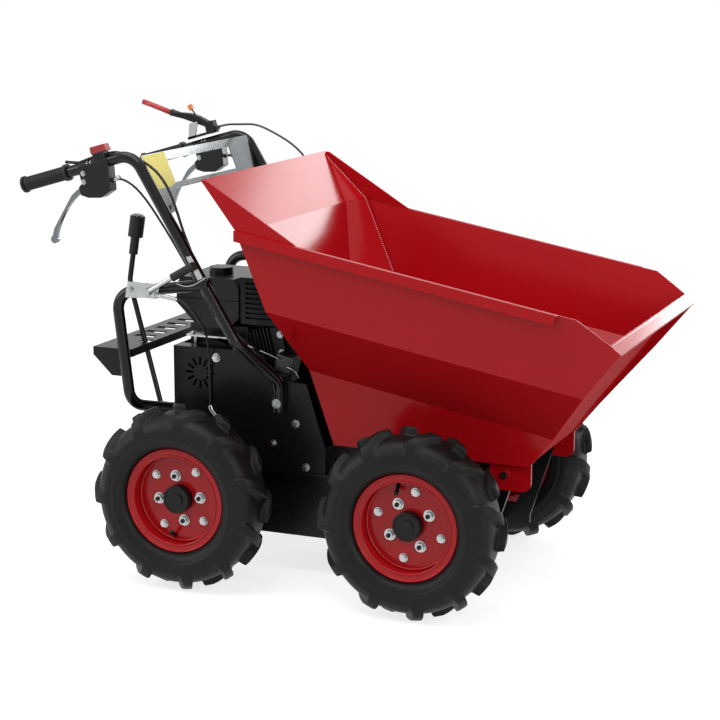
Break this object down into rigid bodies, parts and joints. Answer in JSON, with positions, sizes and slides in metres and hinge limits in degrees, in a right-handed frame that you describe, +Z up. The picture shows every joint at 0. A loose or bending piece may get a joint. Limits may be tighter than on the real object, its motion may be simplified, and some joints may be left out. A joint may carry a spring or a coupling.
{
  "type": "walk-behind site dumper",
  "caption": "Walk-behind site dumper with a tipping sheet-metal skip, lugged drive wheels, an open engine behind the skip and handlebars with hand levers.",
  "frame": {"origin": "ground under the middle of the bounding box", "axes": "+X to the tipping lip, +Y to the left, +Z up"},
  "size_m": [1.3751, 0.758, 1.0109],
  "materials": {
    "skip_red": "glossy red powder coat",
    "rim_red": "glossy red paint",
    "black_paint": "satin black powder coat",
    "zinc": "bright zinc plate",
    "engine_cast": "dark cast metal",
    "engine_black": "gloss black",
    "black_plastic": "matt moulded",
    "grip_rubber": "matt rubber",
    "lever_alloy": "polished",
    "switch_red": "moulded",
    "tyre": "moulded rubber"
  },
  "bodies": {
    "chassis": {"chassis_case": "black_paint", "engine_frame": "black_paint", "handlebars": "black_paint", "tip_lever": "black_paint", "braces": "black_paint", "rear_tray": "black_paint", "gear_lever": "black_paint", "pivot_pin": "zinc", "cross_panel": "zinc", "brake_plate": "zinc", "brake_lever": "zinc", "crankcase": "engine_cast", "cylinder_head": "engine_cast", "fuel_tank": "engine_black", "muffler_guard": "engine_black", "recoil_cover": "engine_black", "air_cleaner": "black_plastic", "lever_housings": "black_plastic", "lever_grips": "black_plastic", "cables": "black_plastic", "grips": "grip_rubber", "hand_levers": "lever_alloy", "stop_switch": "switch_red", "tip_lever_sleeve": "switch_red"},
    "skip": {"skip_floor": "skip_red", "skip_side_left": "skip_red", "skip_side_right": "skip_red", "skip_rear_wall": "skip_red", "skip_front_panel": "skip_red", "skip_tabs": "skip_red"},
    "wheel_fl": {"tyre_fl": "tyre", "rim_fl": "rim_red", "hub_fl": "black_paint"},
    "wheel_fr": {"tyre_fr": "tyre", "rim_fr": "rim_red", "hub_fr": "black_paint"},
    "wheel_rl": {"tyre_rl": "tyre", "rim_rl": "rim_red", "hub_rl": "black_paint"},
    "wheel_rr": {"tyre_rr": "tyre", "rim_rr": "rim_red", "hub_rr": "black_paint"}
  },
  "joints": [
    {"name": "skip_tip", "type": "hinge", "parent": "chassis", "child": "skip", "pos_m": [0.401, 0, 0.286], "axis": [0, 1, 0], "range_deg": [0, 85]},
    {"name": "wheel_fl_spin", "type": "hinge", "parent": "chassis", "child": "wheel_fl", "pos_m": [0.251, 0.32, 0.2045], "axis": [0, 1, 0], "continuous": true},
    {"name": "wheel_fr_spin", "type": "hinge", "parent": "chassis", "child": "wheel_fr", "pos_m": [0.251, -0.32, 0.2045], "axis": [0, 1, 0], "continuous": true},
    {"name": "wheel_rl_spin", "type": "hinge", "parent": "chassis", "child": "wheel_rl", "pos_m": [-0.283, 0.32, 0.2045], "axis": [0, 1, 0], "continuous": true},
    {"name": "wheel_rr_spin", "type": "hinge", "parent": "chassis", "child": "wheel_rr", "pos_m": [-0.283, -0.32, 0.2045], "axis": [0, 1, 0], "continuous": true}
  ]
}
